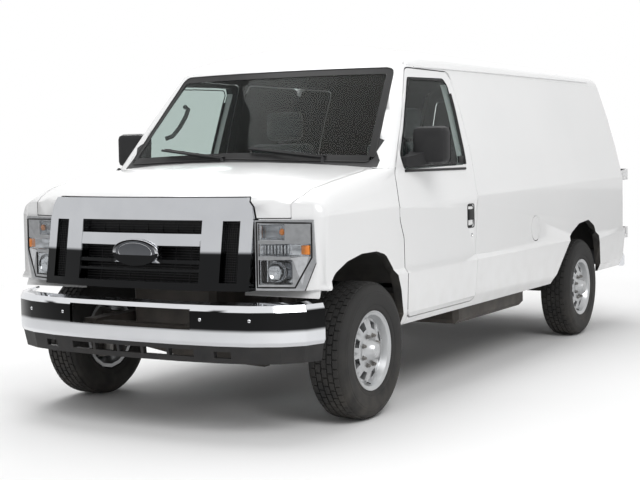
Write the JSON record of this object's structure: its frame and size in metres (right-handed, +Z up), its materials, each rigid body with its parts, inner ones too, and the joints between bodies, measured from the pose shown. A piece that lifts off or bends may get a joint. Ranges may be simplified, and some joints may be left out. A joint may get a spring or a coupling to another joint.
{
  "type": "cargo van",
  "caption": "Full-size panel van with a short sloping nose, windowless load-space sides, hinged doors and hood, steering front wheels and a ladder frame.",
  "frame": {"origin": "middle of the footprint on the ground", "axes": "+Z up, the nose points to -Y, the driver side is +X"},
  "size_m": [2.304, 5.504, 2.085],
  "materials": {
    "white_paint": "gloss white paint",
    "chrome": "bright chrome plate",
    "black_plastic": "black moulded plastic",
    "black_steel": "black painted steel",
    "wheel_silver": "silver painted steel",
    "tyre_rubber": "tyre rubber",
    "tinted_glass": "lightly tinted safety glass",
    "lamp_lens": "clear lamp lens over a bright bowl",
    "tail_lens": "red lens",
    "grey_trim": "grained grey trim",
    "seat_cloth": "grey woven cloth",
    "cast_metal": "cast metal"
  },
  "bodies": {
    "van_body": {"body_side_left": "white_paint", "body_side_right": "white_paint", "roof_panel": "white_paint", "fender_left": "white_paint", "fender_right": "white_paint", "grille": "chrome", "front_bumper": "chrome", "rear_bumper": "chrome", "cowl": "black_plastic", "front_valance": "black_plastic", "chassis_frame": "black_steel", "front_axle": "black_steel", "rear_axle": "black_steel", "exhaust": "black_steel", "fuel_tank": "black_steel", "windshield": "tinted_glass", "headlamp_left": "lamp_lens", "headlamp_right": "lamp_lens", "tail_lamp_left": "tail_lens", "tail_lamp_right": "tail_lens", "floor_pan": "grey_trim", "dashboard": "grey_trim", "driver_seat": "seat_cloth", "passenger_seat": "seat_cloth", "engine_block": "cast_metal"},
    "steering_wheel_body": {"steering_wheel": "black_plastic"},
    "knuckle_left_body": {"knuckle_left": "cast_metal"},
    "wheel_front_left": {"tyre_front_left": "tyre_rubber", "rim_front_left": "wheel_silver"},
    "wheel_rear_left": {"tyre_rear_left": "tyre_rubber", "rim_rear_left": "wheel_silver"},
    "front_door_left_body": {"front_door_left": "white_paint", "door_glass_left": "tinted_glass", "door_mirror_left": "black_plastic"},
    "rear_door_left_body": {"rear_door_left": "white_paint"},
    "knuckle_right_body": {"knuckle_right": "cast_metal"},
    "wheel_front_right": {"tyre_front_right": "tyre_rubber", "rim_front_right": "wheel_silver"},
    "wheel_rear_right": {"tyre_rear_right": "tyre_rubber", "rim_rear_right": "wheel_silver"},
    "front_door_right_body": {"front_door_right": "white_paint", "door_glass_right": "tinted_glass", "door_mirror_right": "black_plastic"},
    "rear_door_right_body": {"rear_door_right": "white_paint"},
    "hood_body": {"hood": "white_paint"},
    "cargo_door_front_body": {"cargo_door_front": "white_paint"},
    "cargo_door_rear_body": {"cargo_door_rear": "white_paint"},
    "fuel_door_body": {"fuel_door": "white_paint"}
  },
  "joints": [
    {"name": "knuckle_left_steer", "type": "hinge", "parent": "van_body", "child": "knuckle_left_body", "pos_m": [0.79, -1.914, 0.366], "axis": [0, 0, 1], "range_deg": [-32, 32]},
    {"name": "wheel_front_left_spin", "type": "hinge", "parent": "knuckle_left_body", "child": "wheel_front_left", "pos_m": [0.8815, -1.914, 0.366], "axis": [1, 0, 0], "continuous": true},
    {"name": "wheel_rear_left_spin", "type": "hinge", "parent": "van_body", "child": "wheel_rear_left", "pos_m": [0.852, 1.591, 0.366], "axis": [1, 0, 0], "continuous": true},
    {"name": "front_door_left_hinge", "type": "hinge", "parent": "van_body", "child": "front_door_left_body", "pos_m": [0.9865, -1.5846, 0.745], "axis": [0, 0, -1], "range_deg": [0, 65]},
    {"name": "rear_door_left_hinge", "type": "hinge", "parent": "van_body", "child": "rear_door_left_body", "pos_m": [0.99, 2.649, 1.18], "axis": [0, 0, -1], "range_deg": [0, 172]},
    {"name": "knuckle_right_steer", "type": "hinge", "parent": "van_body", "child": "knuckle_right_body", "pos_m": [-0.79, -1.914, 0.366], "axis": [0, 0, 1], "range_deg": [-32, 32]},
    {"name": "wheel_front_right_spin", "type": "hinge", "parent": "knuckle_right_body", "child": "wheel_front_right", "pos_m": [-0.8815, -1.914, 0.366], "axis": [1, 0, 0], "continuous": true},
    {"name": "wheel_rear_right_spin", "type": "hinge", "parent": "van_body", "child": "wheel_rear_right", "pos_m": [-0.852, 1.591, 0.366], "axis": [1, 0, 0], "continuous": true},
    {"name": "front_door_right_hinge", "type": "hinge", "parent": "van_body", "child": "front_door_right_body", "pos_m": [-0.9865, -1.5846, 0.745], "axis": [0, 0, 1], "range_deg": [0, 65]},
    {"name": "rear_door_right_hinge", "type": "hinge", "parent": "van_body", "child": "rear_door_right_body", "pos_m": [-0.99, 2.649, 1.18], "axis": [0, 0, 1], "range_deg": [0, 172]},
    {"name": "steering_wheel_turn", "type": "hinge", "parent": "van_body", "child": "steering_wheel_body", "pos_m": [0.42, -1.02, 1.215], "axis": [0, 0.8829, 0.4695], "range_deg": [-520, 520]},
    {"name": "hood_hinge", "type": "hinge", "parent": "van_body", "child": "hood_body", "pos_m": [0, -1.6, 1.33], "axis": [-1, 0, 0], "range_deg": [0, 50]},
    {"name": "cargo_door_front_hinge", "type": "hinge", "parent": "van_body", "child": "cargo_door_front_body", "pos_m": [-1.0075, -0.4368, 0.745], "axis": [0, 0, 1], "range_deg": [0, 90]},
    {"name": "cargo_door_rear_hinge", "type": "hinge", "parent": "van_body", "child": "cargo_door_rear_body", "pos_m": [-1.0075, 0.7968, 0.745], "axis": [0, 0, -1], "range_deg": [0, 90]},
    {"name": "fuel_door_hinge", "type": "hinge", "parent": "van_body", "child": "fuel_door_body", "pos_m": [0.9865, 0.4346, 0.877], "axis": [0, 0, -1], "range_deg": [0, 100]}
  ],
  "couplings": [
    {"joint": "knuckle_right_steer", "follows": "knuckle_left_steer", "ratio": 1},
    {"joint": "steering_wheel_turn", "follows": "knuckle_left_steer", "ratio": 16}
  ]
}
